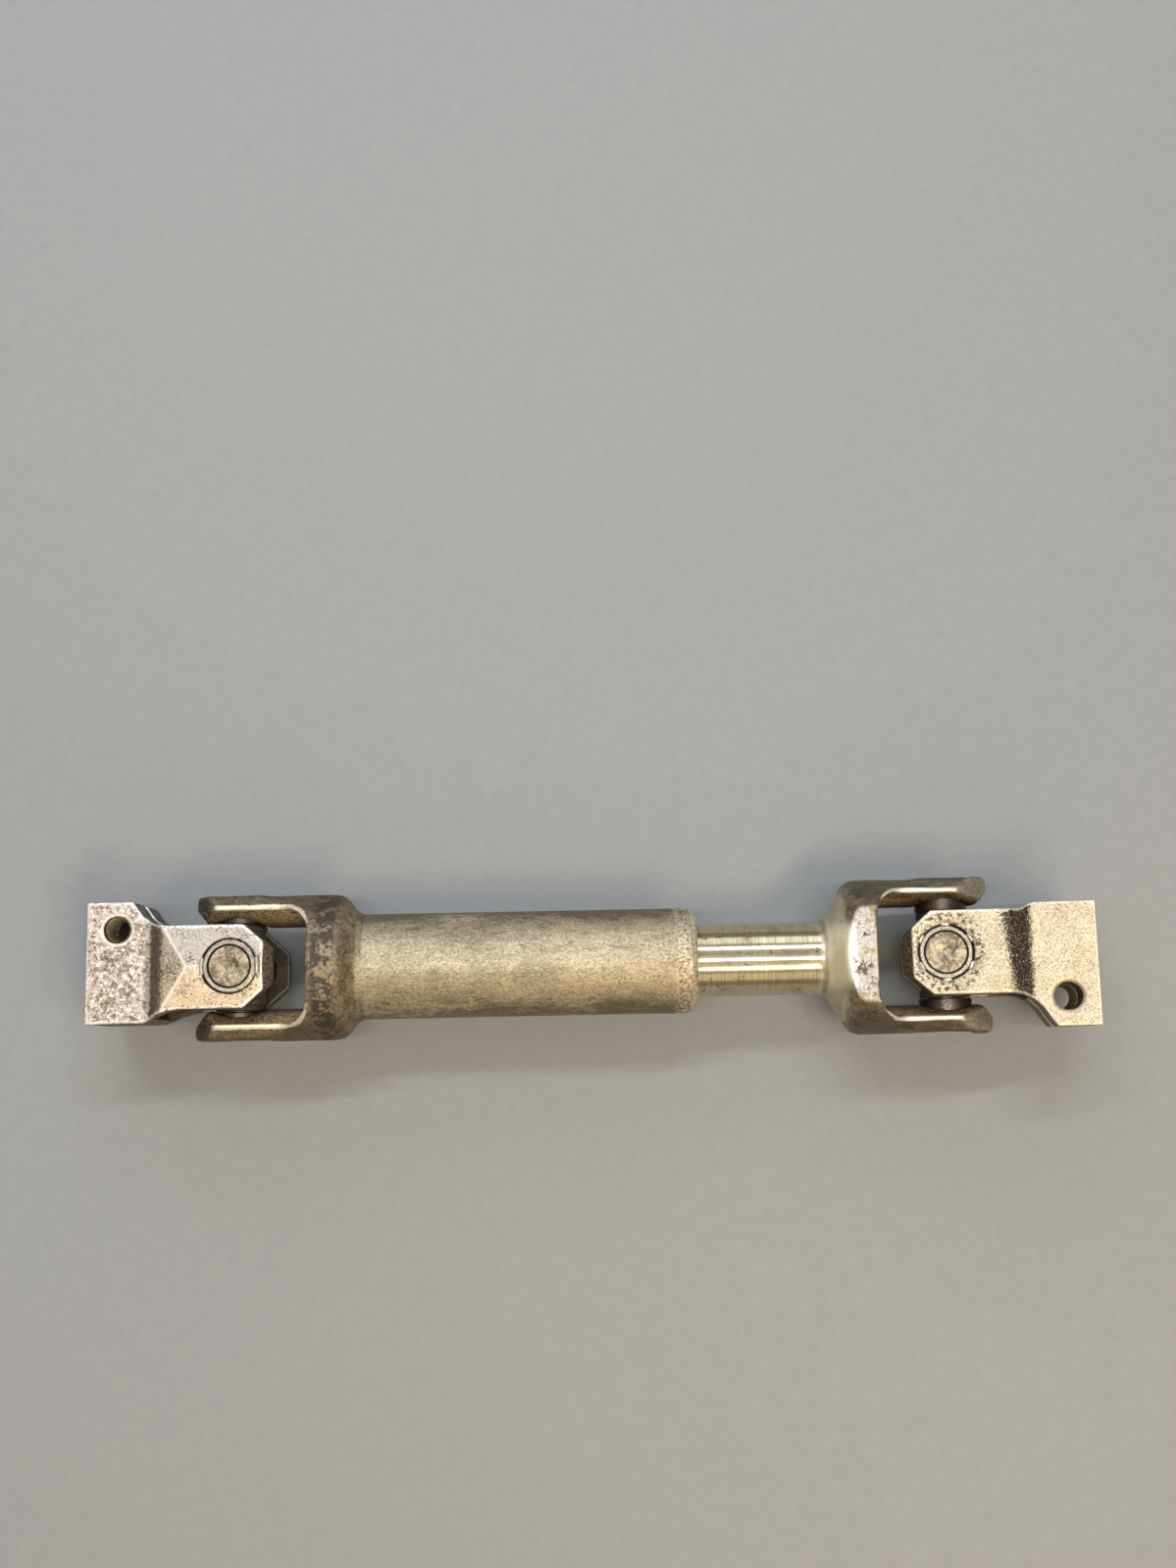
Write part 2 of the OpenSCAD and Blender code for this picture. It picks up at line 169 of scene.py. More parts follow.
def curvature(me, steps=3):
    """Signed curvature, positive on outer edges and negative in hollows, roughly -1 to 1."""
    e, co = edges_of(me), coords(me)
    n = normals(me)
    smooth = co
    for _ in range(steps):
        smooth = neighbours(e, smooth, len(co))
    c = ((co - smooth) * n).sum(1)
    for _ in range(2):
        c = neighbours(e, c, len(c))
    return c

def finish_piece(me, name, kind, body, material, replaced=(), smooth=True):
    """Puts a mesh that is in a yoke's own frame in its place, on its body, with its material and slot."""
    me.transform(Matrix.Scale(0.001, 4) @ frame_of(kind))
    for poly in me.polygons:
        poly.use_smooth = smooth
    me.materials.clear()
    me.materials.append(material)
    ob = bpy.data.objects.new(name, me)
    scene.collection.objects.link(ob)
    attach(ob, body)
    if replaced:
        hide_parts(*replaced)
    return ob

# ---------------------------------------------------------------- materials
class Look:
    """Short names for building a node material. Sizes are in mm on the object."""

    def __init__(self, name):
        self.mat = bpy.data.materials.new(name)
        self.mat.use_nodes = True
        self.tree = self.mat.node_tree
        self.shader = self.tree.nodes["Principled BSDF"]
        self.coord = self.tree.nodes.new("ShaderNodeTexCoord").outputs["Object"]

    def put(self, socket, value):
        if isinstance(value, bpy.types.NodeSocket):
            self.tree.links.new(value, socket)
        elif isinstance(value, (tuple, list)) and len(socket.default_value) == 4 and len(value) == 3:
            socket.default_value = (*value, 1)
        else:
            socket.default_value = value

    def space(self, stretch=(1, 1, 1), turn=(0, 0, 0)):
        """Object coordinates in mm, drawn out by stretch and turned in degrees."""
        m = self.tree.nodes.new("ShaderNodeMapping")
        m.inputs["Scale"].default_value = [1000 / s for s in stretch]
        m.inputs["Rotation"].default_value = [math.radians(a) for a in turn]
        self.put(m.inputs["Vector"], self.coord)
        return m.outputs[0]

    def noise(self, size, detail=3, rough=0.55, stretch=(1, 1, 1), turn=(0, 0, 0), distortion=0):
        n = self.tree.nodes.new("ShaderNodeTexNoise")
        self.put(n.inputs["Vector"], self.space(stretch, turn))
        n.inputs["Scale"].default_value = 1 / size
        n.inputs["Detail"].default_value = detail
        n.inputs["Roughness"].default_value = rough
        n.inputs["Distortion"].default_value = distortion
        return n.outputs[0]

    def span(self, value, a, b, low=0.0, high=1.0, smooth=True):
        """Maps value from the range a to b onto low to high, and holds it at both ends."""
        n = self.tree.nodes.new("ShaderNodeMapRange")
        if smooth:
            n.interpolation_type = "SMOOTHSTEP"
        self.put(n.inputs["Value"], value)
        for k, v in zip(("From Min", "From Max", "To Min", "To Max"), (a, b, low, high)):
            self.put(n.inputs[k], v)
        return n.outputs[0]

    def math(self, op, a, b=0.0, clamp=False):
        n = self.tree.nodes.new("ShaderNodeMath")
        n.operation = op
        n.use_clamp = clamp
        self.put(n.inputs[0], a)
        self.put(n.inputs[1], b)
        return n.outputs[0]

    def add(self, *values):
        total = values[0]
        for value in values[1:]:
            total = self.math("ADD", total, value)
        return total

    def sub(self, a, b):
        return self.math("SUBTRACT", a, b)

    def mul(self, a, b):
        return self.math("MULTIPLY", a, b)

    def mix(self, fac, a, b):
        n = self.tree.nodes.new("ShaderNodeMix")
        n.data_type = "RGBA"
        self.put(n.inputs["Factor"], fac)
        self.put(n.inputs[6], a)
        self.put(n.inputs[7], b)
        return n.outputs[2]

    def attr(self, name):
        n = self.tree.nodes.new("ShaderNodeAttribute")
        n.attribute_name = name
        return n.outputs["Fac"]

    def bump(self, height, strength, distance_mm, under=None):
        n = self.tree.nodes.new("ShaderNodeBump")
        n.inputs["Strength"].default_value = strength
        n.inputs["Distance"].default_value = distance_mm / 1000
        self.put(n.inputs["Height"], height)
        if under is not None:
            self.put(n.inputs["Normal"], under)
        return n.outputs[0]

    def set(self, **values):
        for k, v in values.items():
            self.put(self.shader.inputs[k.replace("_", " ")], v)
        return self.mat

def srgb(r, g, b):
    """A colour given as 0-255 display values, as the shader's linear one."""
    return tuple(((v / 255 + 0.055) / 1.055) ** 2.4 if v > 10 else v / 3294.6 for v in (r, g, b))

def forged_left():
    """Bright pitted steel: pits on the clamp, fine speckle on the ears with painted light and shade on their
    facets, painted shade in the bend.
    """
    m = Look("left_forged_steel")
    clamp, edge, hollow_shade = m.attr("clamp"), m.attr("edge"), m.attr("hollow_shade")
    coarse = m.noise(1.25, 5, 0.72, distortion=0.4)
    fine = m.noise(0.62, 4, 0.68)
    grit = m.noise(0.36, 2, 0.6)
    patch = m.noise(6, 4, 0.62)
    # pitted faces of the clamp
    dusk = m.add(coarse, m.mul(m.sub(patch, 0.5), 0.35))
    jaw = m.mix(m.span(coarse, 0.36, 0.50), srgb(240, 235, 230), srgb(204, 194, 182))
    jaw = m.mix(m.span(dusk, 0.49, 0.57, 0, 0.9), jaw, srgb(146, 130, 108))
    jaw = m.mix(m.span(dusk, 0.60, 0.68, 0, 0.85), jaw, srgb(92, 80, 63))
    jaw = m.mix(m.span(fine, 0.56, 0.64, 0, 0.7), jaw, srgb(112, 98, 78))
    jaw = m.mix(m.span(fine, 0.42, 0.34, 0, 0.75), jaw, srgb(255, 252, 250))
    # finely speckled ears, with painted light on their facets: the lower half warm and the upper half cool,
    # painted shade on the facet between the ridges, and a painted highlight along the ridge
    ear = m.mix(m.attr("low"), srgb(186, 181, 173), srgb(216, 194, 162))
    ear = m.mix(m.mul(m.attr("mid"), 0.75), ear, srgb(176, 162, 138))
    ear = m.mix(m.span(fine, 0.30, 0.46, 0.6, 0), ear, srgb(250, 246, 240))
    ear = m.mix(m.span(m.add(fine, m.mul(patch, 0.5)), 0.78, 0.86, 0, 0.85), ear, srgb(88, 77, 62))
    ear = m.mix(m.span(grit, 0.56, 0.66, 0, 0.55), ear, srgb(100, 88, 70))
    ear = m.mix(m.mul(m.attr("ridge"), 0.8), ear, srgb(248, 240, 226))
    col = m.mix(clamp, ear, jaw)
    # painted shade in the bend and the hollows, bright rubbed edges, painted shade on the sides
    darkening = m.span(m.add(m.attr("bend_shade"), m.mul(m.sub(m.add(coarse, fine), 1.0), 1.2)), 0.15, 0.95)
    col = m.mix(m.mul(darkening, 0.85), col, srgb(84, 73, 56))
    col = m.mix(m.span(hollow_shade, 0.20, 0.8, 0, 0.6), col, srgb(70, 60, 47))
    col = m.mix(m.mul(m.span(edge, 0.3, 0.95, 0, 0.8), m.span(fine, 0.62, 0.52)), col, srgb(255, 252, 248))
    col = m.mix(m.mul(m.attr("side"), m.span(coarse, 0.34, 0.62, 0.70, 0.95)), col, srgb(74, 65, 52))
    # painted shade on the chamfers at the ear ends
    bevel = m.mix(m.span(fine, 0.40, 0.58), srgb(176, 164, 142), srgb(84, 75, 60))
    col = m.mix(m.mul(m.attr("bevel"), 0.95), col, bevel)
    col = m.mix(m.mul(m.attr("end"), m.span(patch, 0.4, 0.6, 0.25, 0.9)), col, srgb(140, 108, 44))
    # painted shade inside the fork and in the serrations' seat
    col = m.mix(m.attr("inner"), col, srgb(66, 57, 45))
    col = m.mix(m.attr("ring"), col, srgb(238, 232, 222))
    # painted shadow in the gap round the cup
    col = m.mix(m.attr("gap"), col, srgb(30, 26, 22))
    rough = m.add(m.span(coarse, 0.4, 0.6, 0.38, 0.54), m.mul(m.attr("inner"), 0.15))
    height = m.add(m.mul(m.sub(1, m.span(coarse, 0.40, 0.64)), m.span(clamp, 0, 1, 0.2, 0.8)), m.mul(fine, 0.7))
    height = m.add(height, m.mul(grit, 0.3))
    return m.set(Base_Color=col, Metallic=0.66, Roughness=rough, Normal=m.bump(height, 0.65, 0.16))

def forged_right():
    """Satin, fine-blasted steel with small dark specks near the cup and painted shade in the bend."""
    m = Look("right_forged_steel")
    edge, hollow_shade = m.attr("edge"), m.attr("hollow_shade")
    fine = m.noise(0.62, 3, 0.68)
    grit = m.noise(0.4, 2, 0.65)
    mid = m.noise(1.15, 5, 0.72)
    patch = m.noise(7, 4, 0.6)
    col = m.mix(m.span(patch, 0.35, 0.7), srgb(216, 203, 179), srgb(196, 182, 157))
    col = m.mix(m.span(fine, 0.47, 0.60, 0, 0.85), col, srgb(150, 135, 111))
    col = m.mix(m.span(grit, 0.42, 0.32, 0, 0.75), col, srgb(244, 236, 218))
    # dark specks that gather near the cup
    near_cup = m.attr("cup")
    specks = m.mul(m.span(mid, 0.50, 0.57), m.span(m.add(near_cup, m.mul(patch, 0.8)), 0.50, 1.0, 0.0, 0.95))
    specks = m.math("MAXIMUM", specks, m.mul(m.span(m.noise(0.8, 2, 0.5), 0.66, 0.72), 0.6))
    col = m.mix(specks, col, srgb(84, 72, 56))
    # painted shade in the bend and the hollows, rubbed edges, and painted shade on the sides
    bend = m.span(m.add(m.attr("bend_shade"), m.mul(m.sub(m.add(fine, grit), 1.0), 3.0)), 0.18, 0.85)
    bend = m.mul(bend, m.span(m.attr("bend_shade"), 0.02, 0.2))
    col = m.mix(m.mul(bend, 0.97), col, srgb(44, 39, 31))
    col = m.mix(m.span(hollow_shade, 0.20, 0.8, 0, 0.5), col, srgb(84, 74, 60))
    col = m.mix(m.span(m.sub(edge, m.span(fine, 0.5, 0.62, 0, 0.3)), 0.5, 1.0, 0, 0.7), col, srgb(248, 240, 220))
    col = m.mix(m.mul(m.attr("side"), m.span(mid, 0.34, 0.62, 0.62, 0.9)), col, srgb(80, 69, 54))
    # painted shade on the chamfers at the ear ends
    bevel = m.mix(m.span(fine, 0.40, 0.58), srgb(158, 144, 118), srgb(72, 64, 50))
    col = m.mix(m.mul(m.attr("bevel"), 0.95), col, bevel)
    # painted shade inside the fork and in the serrations' seat
    col = m.mix(m.attr("inner"), col, srgb(66, 57, 45))
    col = m.mix(m.mul(m.attr("ring"), 0.7), col, srgb(186, 173, 146))
    # painted shadow in the gap round the cup
    col = m.mix(m.attr("gap"), col, srgb(30, 26, 22))
    rough = m.span(m.add(specks, m.span(fine, 0.3, 0.7, 0, 0.3)), 0, 1.2, 0.48, 0.66)
    height = m.add(m.add(fine, m.mul(grit, 0.6)), m.mul(mid, 0.5))
    return m.set(Base_Color=col, Metallic=0.62, Roughness=rough, Normal=m.bump(height, 0.6, 0.14))

def tube_steel():
    """Dull drawn tube: fine grain, drawing lines, crossed scratches; dark rough forged collar and ears, with
    painted shade on the tube's flanks and on the ears' outer faces and tips.
    """
    m = Look("tube_steel")
    edge, hollow_shade, forged, inner = m.attr("edge"), m.attr("hollow_shade"), m.attr("forged"), m.attr("inner")
    grain = m.noise(0.55, 4, 0.72, stretch=(1.5, 1, 1))
    lines = m.noise(0.45, 4, 0.7, stretch=(14, 1, 1))
    sweep = m.noise(1.3, 5, 0.75, stretch=(2.6, 1, 1), turn=(0, 0, 8), distortion=0.5)
    cross = m.noise(0.5, 4, 0.7, stretch=(8, 1, 1), turn=(0, 0, -17), distortion=0.6)
    cloud = m.noise(11, 5, 0.68, stretch=(1.8, 1, 1))
    small = m.noise(0.5, 3, 0.65)
    # the drawn tube
    base = m.mix(m.span(cloud, 0.36, 0.64), srgb(184, 171, 145), srgb(154, 142, 117))
    base = m.mix(m.span(grain, 0.50, 0.62, 0, 0.75), base, srgb(118, 107, 86))
    base = m.mix(m.span(grain, 0.46, 0.34, 0, 0.7), base, srgb(220, 210, 188))
    base = m.mix(m.span(sweep, 0.52, 0.64, 0, 0.6), base, srgb(122, 108, 82))
    base = m.mix(m.span(lines, 0.54, 0.66, 0, 0.4), base, srgb(112, 99, 75))
    base = m.mix(m.span(cross, 0.61, 0.68, 0, 0.6), base, srgb(228, 216, 190))
    squiggle = m.noise(0.6, 3, 0.7, stretch=(3, 1, 1), turn=(0, 0, 30), distortion=1.6)
    marks = m.mul(m.span(squiggle, 0.66, 0.70), m.span(cloud, 0.50, 0.58))
    base = m.mix(m.mul(marks, 0.85), base, srgb(246, 238, 220))
    base = m.mix(m.span(m.noise(0.9, 3, 0.6), 0.68, 0.72, 0, 0.7), base, srgb(70, 61, 47))
    # painted shade along the tube's flanks, with darker streaks from noise
    flank_shade_and_streaks = m.add(m.attr("rim"), m.mul(m.sub(m.add(sweep, cloud), 1.0), 1.6))
    base = m.mix(m.span(flank_shade_and_streaks, 0.30, 0.85, 0, 0.7), base, srgb(88, 80, 64))
    # the forged collar, and painted shade on the outside of the ears
    darkening = m.noise(3.0, 5, 0.72)
    rust = m.noise(0.95, 4, 0.72)
    skin = m.mix(m.span(darkening, 0.38, 0.62), srgb(156, 141, 115), srgb(110, 99, 80))
    skin = m.mix(m.span(rust, 0.50, 0.62, 0, 0.75), skin, srgb(72, 63, 49))
    skin = m.mix(m.span(small, 0.44, 0.34, 0, 0.6), skin, srgb(192, 175, 142))
    hammered = m.noise(0.6, 4, 0.7, stretch=(5, 1, 1), turn=(0, 0, 62), distortion=0.9)
    skin = m.mix(m.span(hammered, 0.58, 0.66, 0, 0.6), skin, srgb(200, 184, 150))
    patch = m.mul(m.attr("patch"), m.span(m.add(darkening, m.mul(rust, 0.4)), 0.64, 0.74, 0.0, 0.9))
    skin = m.mix(patch, skin, srgb(66, 62, 56))
    skin = m.mix(m.mul(m.attr("out"), 0.6), skin, srgb(72, 63, 49))
    where = m.span(m.add(forged, m.mul(m.sub(darkening, 0.5), 1.2)), 0.3, 0.62)
    col = m.mix(where, base, skin)
    # the pitted mouth, painted shade in the hollows, rubbed edges, and the inside of the fork
    mouth = m.attr("mouth")
    col = m.mix(m.mul(mouth, m.span(m.noise(1.0, 3, 0.65), 0.44, 0.54)), col, srgb(206, 194, 166))
    col = m.mix(m.mul(mouth, m.span(m.noise(0.8, 3, 0.65), 0.53, 0.60, 0, 0.85)), col, srgb(84, 74, 57))
    col = m.mix(m.span(hollow_shade, 0.16, 0.7, 0, 0.8), col, srgb(56, 49, 38))
    worn = m.sub(edge, m.span(rust, 0.5, 0.62, 0, 0.35))
    col = m.mix(m.mul(m.span(worn, 0.14, 0.4, 0, 0.95), m.span(mouth, 0, 1, 1, 0.35)), col, srgb(240, 230, 204))
    gold = m.mix(m.span(small, 0.40, 0.60), srgb(214, 190, 150), srgb(138, 116, 84))
    # painted shade, darker towards the middle of the fork
    gold = m.mix(m.attr("deep"), gold, srgb(54, 44, 32))
    gold = m.mix(m.span(rust, 0.50, 0.60, 0, 0.75), gold, srgb(56, 45, 31))
    col = m.mix(inner, col, gold)
    # painted shade on the end faces of the ear tips
    col = m.mix(m.mul(m.attr("tip"), m.span(rust, 0.35, 0.55, 0.6, 0.95)), col, srgb(66, 58, 46))
    rough = m.add(m.span(cloud, 0.3, 0.7, 0.48, 0.58), m.mul(where, 0.06))
    rough = m.sub(rough, m.span(edge, 0.12, 0.4, 0, 0.22))
    height = m.add(m.mul(grain, 0.8), m.mul(lines, 0.3), m.mul(sweep, 0.4), m.mul(m.mul(rust, where), 1.3))
    return m.set(Base_Color=col, Metallic=0.58, Roughness=rough, Normal=m.bump(height, 0.65, 0.12))

def turned_steel():
    """Bright turned shaft, a painted highlight on the flare, dark forged yoke skin with painted shade on the ears'
    outer faces and painted light on their tips, white milled flats.
    """
    m = Look("turned_steel")
    edge, hollow_shade, forged = m.attr("edge"), m.attr("hollow_shade"), m.attr("forged")
    inner, flat, flare = m.attr("inner"), m.attr("flat"), m.attr("flare")
    rings = m.noise(0.35, 3, 0.6, stretch=(1, 60, 60))
    small = m.noise(0.5, 3, 0.65)
    cloud = m.noise(9, 4, 0.6)
    # the turned shaft with its brown nicks
    base = m.mix(m.span(rings, 0.4, 0.62), srgb(196, 188, 158), srgb(174, 165, 134))
    base = m.mix(m.span(cloud, 0.45, 0.7, 0, 0.65), base, srgb(148, 134, 102))
    nick = m.mul(m.span(m.noise(1.7, 3, 0.6, distortion=0.6), 0.62, 0.65), m.span(m.noise(14, 2, 0.5), 0.42, 0.52))
    base = m.mix(m.mul(nick, 0.9), base, srgb(120, 84, 44))
    base = m.mix(m.span(m.noise(0.7, 2, 0.5), 0.70, 0.75, 0, 0.6), base, srgb(96, 80, 56))
    # the forged skin of the yoke
    darkening = m.noise(2.8, 5, 0.72, stretch=(1.3, 1, 1))
    skin = m.mix(m.span(darkening, 0.38, 0.62), srgb(160, 147, 122), srgb(116, 105, 86))
    skin = m.mix(m.span(small, 0.52, 0.64, 0, 0.65), skin, srgb(60, 53, 42))
    swirl = m.noise(0.5, 4, 0.7, stretch=(6, 1, 1), turn=(0, 0, 48), distortion=0.5)
    skin = m.mix(m.span(swirl, 0.57, 0.66, 0, 0.55), skin, srgb(180, 166, 136))
    # painted shade on the outside of the ears
    skin = m.mix(m.mul(m.attr("out"), 0.55), skin, srgb(72, 63, 49))
    where = m.span(m.add(forged, m.mul(m.sub(darkening, 0.5), 0.8)), 0.3, 0.62)
    # painted highlight on the flare
    flare_highlight = m.mix(m.span(cloud, 0.4, 0.6), srgb(255, 246, 216), srgb(240, 226, 190))
    base = m.mix(m.mul(flare, 0.8), base, flare_highlight)
    col = m.mix(where, base, skin)
    # the milled flats
    white = m.mix(m.span(small, 0.40, 0.62), srgb(238, 234, 232), srgb(192, 186, 180))
    pits = m.add(m.noise(1.3, 5, 0.7), m.mul(m.noise(6, 2, 0.5), 0.7))
    white = m.mix(m.span(pits, 0.93, 1.0, 0, 0.9), white, srgb(104, 88, 68))
    white = m.mix(m.span(m.noise(5, 3, 0.6), 0.54, 0.64, 0, 0.7), white, srgb(186, 172, 126))
    # painted shade in the hollows
    col = m.mix(m.span(hollow_shade, 0.16, 0.7, 0, 0.75), col, srgb(58, 50, 39))
    col = m.mix(m.span(edge, 0.14, 0.45, 0, 0.95), col, srgb(246, 240, 222))
    col = m.mix(flat, col, white)
    gold = m.mix(m.span(small, 0.40, 0.60), srgb(226, 194, 148), srgb(156, 126, 88))
    # painted shade, darker towards the middle of the fork
    gold = m.mix(m.attr("deep"), gold, srgb(60, 47, 32))
    gold = m.mix(m.span(darkening, 0.52, 0.62, 0, 0.75), gold, srgb(64, 50, 34))
    col = m.mix(inner, col, gold)
    # painted light on the end faces of the ear tips
    tip = m.mix(m.span(small, 0.4, 0.62), srgb(202, 195, 178), srgb(150, 140, 120))
    col = m.mix(m.mul(m.attr("tip"), 0.85), col, tip)
    rough = m.add(m.span(rings, 0.3, 0.7, 0.13, 0.18), m.mul(where, 0.31))
    rough = m.add(rough, m.mul(flat, 0.32))
    rough = m.math("MAXIMUM", rough, m.mul(flare, 0.42))
    height = m.add(m.mul(rings, 0.10), m.mul(m.mul(small, where), 1.2), m.mul(m.mul(small, flat), 0.8))
    return m.set(Base_Color=col, Metallic=m.sub(0.82, m.mul(flare, 0.4)), Roughness=rough,
                 Normal=m.bump(height, 0.5, 0.12))

def cup_steel():
    """Ground steel, stained on the end disc, with painted shade in the groove round it and on its sides under the
    ear.
    """
    m = Look("bearing_cup_steel")
    grind = m.noise(0.5, 3, 0.6)
    stain = m.noise(3.2, 5, 0.7, distortion=0.8)
    shade = m.attr("disc")
    base = m.mix(m.span(grind, 0.4, 0.65), srgb(164, 155, 144), srgb(128, 119, 106))
    base = m.mix(m.span(stain, 0.5, 0.62, 0, 0.6), base, srgb(128, 116, 98))
    disc = m.mix(m.span(stain, 0.38, 0.60), srgb(182, 168, 144), srgb(112, 100, 82))
    disc = m.mix(m.span(m.noise(1.0, 4, 0.65), 0.54, 0.62, 0, 0.75), disc, srgb(72, 63, 50))
    disc = m.mix(m.span(m.noise(0.6, 2, 0.6), 0.36, 0.28, 0, 0.5), disc, srgb(226, 216, 198))
    col = m.mix(shade, base, disc)
    # painted shade on the cup's sides under the ear, and in the groove and the gap at its rim
    col = m.mix(m.attr("under"), col, srgb(78, 71, 61))
    col = m.mix(m.attr("groove"), col, srgb(36, 31, 26))
    rough = m.add(m.span(grind, 0.3, 0.7, 0.26, 0.36), m.mul(shade, 0.14))
    height = m.add(m.mul(grind, 0.4), m.mul(stain, 0.5))
    return m.set(Base_Color=col, Metallic=0.85, Roughness=rough, Normal=m.bump(height, 0.5, 0.10))

def plain(name, a, b, size, metallic, rough, bump, distance, specks=None):
    """A simple two-tone surface with fine grain, for small and inner pieces."""
    m = Look(name)
    n = m.noise(size, 4, 0.6)
    grain = m.noise(size / 6, 2, 0.5)
    col = m.mix(m.span(n, 0.35, 0.65), a, b)
    if specks:
        col = m.mix(m.span(grain, 0.62, 0.72, 0, 0.6), col, specks)
    return m.set(Base_Color=col, Metallic=metallic, Roughness=m.span(grain, 0.3, 0.7, *rough),
                 Normal=m.bump(grain, bump, distance))

# ---------------------------------------------------------------- the four yokes
def snap_round(co, x0, x1, radius, reach=0.3, wobble=None):
    """Puts vertices that lie near a cylinder about X exactly on it."""
    rho = np.hypot(co[:, 1], co[:, 2])
    near = (co[:, 0] > x0) & (co[:, 0] < x1) & (np.abs(rho - radius) < reach)
    target = radius if wobble is None else radius + wobble[near]
    f = np.ones(len(co))
    f[near] = target / rho[near]
    co[:, 1] *= f
    co[:, 2] *= f

def worn(me, gain, where):
    """Edge and hollow attributes from curvature: rubbed wear on the edges, painted shade in the hollows; where is
    less than 1 on corners that are not rubbed bright.
    """
    c = curvature(me) / 0.05 * gain
    attribute(me, "edge", np.clip(c * where, 0, 1))
    attribute(me, "hollow_shade", np.clip(-c, 0, 1))

def yoke_inside(co, nrm, edge_y, wall_x):
    """1 on the faces that look into the gap between the ears."""
    inward = -np.sign(co[:, 1]) * nrm[:, 1]
    face = (np.abs(co[:, 1]) < edge_y - 0.4) & (co[:, 0] < wall_x + 0.5) & (co[:, 0] > -10) & (inward > 0.25)
    return face.astype(float)

def round_outside(me, face_y):
    """Rounds the outer corners of the ears, leaving their inner edges and the bearing bores crisp."""
    co = coords(me)
    keep = 1 - smoothstep(face_y + 0.3, face_y + 1.2, np.abs(co[:, 1])) * (1 - smoothstep(28, 33, co[:, 0]))
    keep = np.maximum(keep, 1 - smoothstep(8.2, 9.2, np.hypot(co[:, 0], co[:, 2])))
    soften(me, 14, keep)

def build_tube():
    """The outer tube with its forged collar and ears; X runs from the cross into the tube."""
    me = remeshed("outer_tube_yoke", "tube", TUBE_VOXEL)
    soften(me, 3)
    round_outside(me, 17.9)
    co = coords(me)
    rho = np.hypot(co[:, 1], co[:, 2])
    bow = 0.05 * noise(co, (40, 9, 9), 5)
    snap_round(co, 38, 135, TUBE_RADIUS, 0.35, bow)
    # plain bores, clear of the sleeve and the shaft that slide inside; the remesh can't hold the fine splines
    bore = (co[:, 0] > 43.6) & (co[:, 0] < 107.6) & (rho < 11.5)
    relief = (co[:, 0] > 107.8) & (co[:, 0] < 138) & (np.abs(rho - RELIEF) < 0.4)
    widen = np.where(bore, np.maximum(1, BORE_CLEAR / np.maximum(rho, 1)),
                     np.where(relief, RELIEF_CLEAR / np.maximum(rho, 1), 1))
    co[:, 1] *= widen
    co[:, 2] *= widen
    # the mouth flares slightly and then rolls in
    end = smoothstep(131.6, 133.0, co[:, 0]) * (1 - smoothstep(133.0, 133.9, co[:, 0])) * (rho > 15)
    flare = smoothstep(126, 132, co[:, 0]) * (rho > 15) * (co[:, 0] < 138)
    pull = 1 - end * 0.006 + flare * 0.003
    co[:, 1] *= pull
    co[:, 2] *= pull
    set_coords(me, co)
    nrm = normals(me)
    outside = smoothstep(14, 15.5, rho)
    skin = 1 - smoothstep(34, 38.5, co[:, 0])
    lumps = 0.16 * noise(co, 9, 11, 2) + 0.07 * noise(co, 2.2, 12, 2)
    bead = smoothstep(133.2, 134.2, co[:, 0]) * (rho > 12.6)
    pitted_mouth = bead * 0.09 * noise(co, 1.1, 14, 2)
    drawn = (1 - skin) * outside * 0.012 * noise(co, (6, 1.2, 1.2), 15, 2)
    set_coords(me, co + nrm * (lumps * skin * outside + pitted_mouth + drawn - 0.04 * skin)[:, None])
    outer_corner = smoothstep(18.2, 19.0, np.abs(co[:, 1])) * (co[:, 0] < 24)
    collar = smoothstep(20, 23.5, co[:, 0]) * smoothstep(17, 18.5, rho)
    mouth_end = smoothstep(129, 131, co[:, 0])
    worn(me, 0.58, (1 - 0.9 * collar) * (1 - 0.97 * outer_corner) * (1 - 0.6 * mouth_end))
    # deep: painted shade, darker towards the middle of the fork
    attribute(me, "deep", 1 - smoothstep(0, 9, np.abs(co[:, 2])))
    attribute(me, "forged", skin * outside)
    attribute(me, "inner", np.maximum(yoke_inside(co, nrm, 17.3, 22.7), (rho < 12.8) * 1.0 * (co[:, 0] > 24)))
    attribute(me, "mouth", smoothstep(131.5, 133, co[:, 0]) * (1 - smoothstep(136.5, 138.5, co[:, 0])) * outside)
    # rim: painted shade on the tube's flanks that face the sides
    attribute(me, "rim", np.abs(np.sin(np.arctan2(co[:, 1], co[:, 2]))) ** 3 * (co[:, 0] > 34))
    attribute(me, "patch", smoothstep(23.5, 25, co[:, 0]) * (1 - smoothstep(30, 32, co[:, 0])) * outside)
    # out: painted shade on the ears' outer faces
    attribute(me, "out", smoothstep(0.5, 0.85, np.abs(nrm[:, 1])) * (rho > 18))
    # tip: painted shade on the end faces of the ear tips
    slanted = (co[:, 0] < -6.3) * smoothstep(0.2, 0.4, -nrm[:, 0])
    attribute(me, "tip", neighbours(edges_of(me), slanted, len(slanted)))
    return finish_piece(me, "outer_tube_forging", "tube", "outer_tube", MAT["tube"],
                        ["outer_tube_yoke"])

